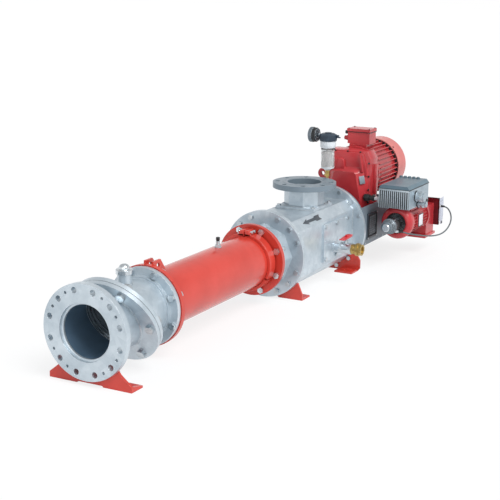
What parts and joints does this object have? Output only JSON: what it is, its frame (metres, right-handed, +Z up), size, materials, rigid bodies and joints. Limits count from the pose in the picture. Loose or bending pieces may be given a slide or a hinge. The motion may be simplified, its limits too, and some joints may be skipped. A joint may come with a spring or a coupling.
{
  "type": "progressive cavity pump",
  "caption": "Progressive cavity pump with a top inlet housing, an end discharge, a geared motor on a lantern and a side-mounted adjusting drive.",
  "frame": {"origin": "centre of the discharge flange's sealing face, on the pump axis", "axes": "+X along the pump axis towards the motor, +Z up through the suction flange, +Y to the far side from the adjusting drive"},
  "size_m": [2.58, 0.6205, 0.654],
  "materials": {
    "red_paint": "semi-gloss",
    "galvanised": "satin",
    "zinc": "satin",
    "steel": "satin",
    "grey_paint": "semi-gloss",
    "rubber": "matte",
    "brass": "satin",
    "lever_red": "gloss",
    "dark_panel": "satin",
    "clear": "clear",
    "dark_blue": "satin",
    "aluminium": "satin",
    "slate": "satin",
    "copper": "varnished",
    "black_plastic": "matte",
    "cable": "matte"
  },
  "bodies": {
    "pump": {"adjusting_fan_cover": "red_paint", "adjusting_gearbox": "red_paint", "adjusting_motor": "red_paint", "clamp_ring": "galvanised", "control_cable": "cable", "cover_bolts": "zinc", "discharge_nozzle": "galvanised", "encoder": "aluminium", "fan_cover": "red_paint", "flange_gaskets": "rubber", "foot_bolts": "zinc", "front_foot": "red_paint", "gearbox_cover": "red_paint", "gearbox_housing": "red_paint", "hose_coupling": "brass", "housing_adapter": "galvanised", "housing_bolts": "zinc", "inlet_neck": "grey_paint", "inspection_cover": "galvanised", "inverter_body": "aluminium", "inverter_connectors": "aluminium", "inverter_cover": "slate", "lantern": "grey_paint", "middle_foot": "red_paint", "motor_frame": "red_paint", "motor_winding": "copper", "oblique_flange_bolts": "zinc", "outlet_adapter": "galvanised", "rear_foot": "red_paint", "reservoir_cap": "dark_blue", "reservoir_fitting": "brass", "reservoir_gauge": "dark_blue", "seal_housing": "grey_paint", "seal_reservoir": "clear", "seal_rings": "rubber", "shaft_bearings": "steel", "stator_bolts": "zinc", "stator_lining": "rubber", "stator_tube": "red_paint", "suction_housing": "galvanised", "switch_bracket": "red_paint", "temperature_probe": "zinc", "terminal_box": "red_paint", "valve_body": "brass", "vent_plug": "zinc", "window_guards": "dark_panel"},
    "drive_shaft": {"drive_shaft": "steel", "output_gear": "steel"},
    "coupling_rod": {"coupling_rod": "steel", "joint_boots": "rubber"},
    "rotor": {"rotor": "steel"},
    "intermediate_gear": {"intermediate_gear": "steel"},
    "motor_rotor": {"motor_rotor": "steel", "motor_fan": "black_plastic"},
    "drain_valve": {"valve_ball": "steel", "valve_lever": "lever_red"},
    "adjusting_rotor": {"adjusting_rotor": "steel"},
    "adjusting_output": {"adjusting_output_shaft": "steel"}
  },
  "joints": [
    {"name": "drive_spin", "type": "hinge", "parent": "pump", "child": "drive_shaft", "pos_m": [2, 0, 0], "axis": [1, 0, 0], "continuous": true},
    {"name": "rod_orbit", "type": "hinge", "parent": "pump", "child": "coupling_rod", "pos_m": [1.838, 0, 0], "axis": [1, 0, 0], "continuous": true},
    {"name": "rotor_spin", "type": "hinge", "parent": "coupling_rod", "child": "rotor", "pos_m": [1.228, 0, -0.015], "axis": [1, 0, 0], "continuous": true},
    {"name": "layshaft_spin", "type": "hinge", "parent": "pump", "child": "intermediate_gear", "pos_m": [2.15, 0, 0.12], "axis": [1, 0, 0], "continuous": true},
    {"name": "motor_spin", "type": "hinge", "parent": "pump", "child": "motor_rotor", "pos_m": [2.3, 0, 0.215], "axis": [1, 0, 0], "continuous": true},
    {"name": "valve_turn", "type": "hinge", "parent": "pump", "child": "drain_valve", "pos_m": [1.673, -0.207, -0.032], "axis": [0, 0, 1], "range_deg": [-90, 0]},
    {"name": "adjusting_spin", "type": "hinge", "parent": "pump", "child": "adjusting_rotor", "pos_m": [2.2, -0.278, 0.012], "axis": [1, 0, 0], "continuous": true},
    {"name": "adjusting_output_turn", "type": "hinge", "parent": "pump", "child": "adjusting_output", "pos_m": [2.4375, -0.2, -0.032], "axis": [0, 1, 0], "continuous": true}
  ],
  "couplings": [
    {"joint": "rod_orbit", "follows": "drive_spin", "ratio": -1},
    {"joint": "rotor_spin", "follows": "drive_spin", "ratio": 2},
    {"joint": "layshaft_spin", "follows": "drive_spin", "ratio": -3},
    {"joint": "motor_spin", "follows": "drive_spin", "ratio": 10.412},
    {"joint": "adjusting_output_turn", "follows": "adjusting_spin", "ratio": 0.025}
  ]
}
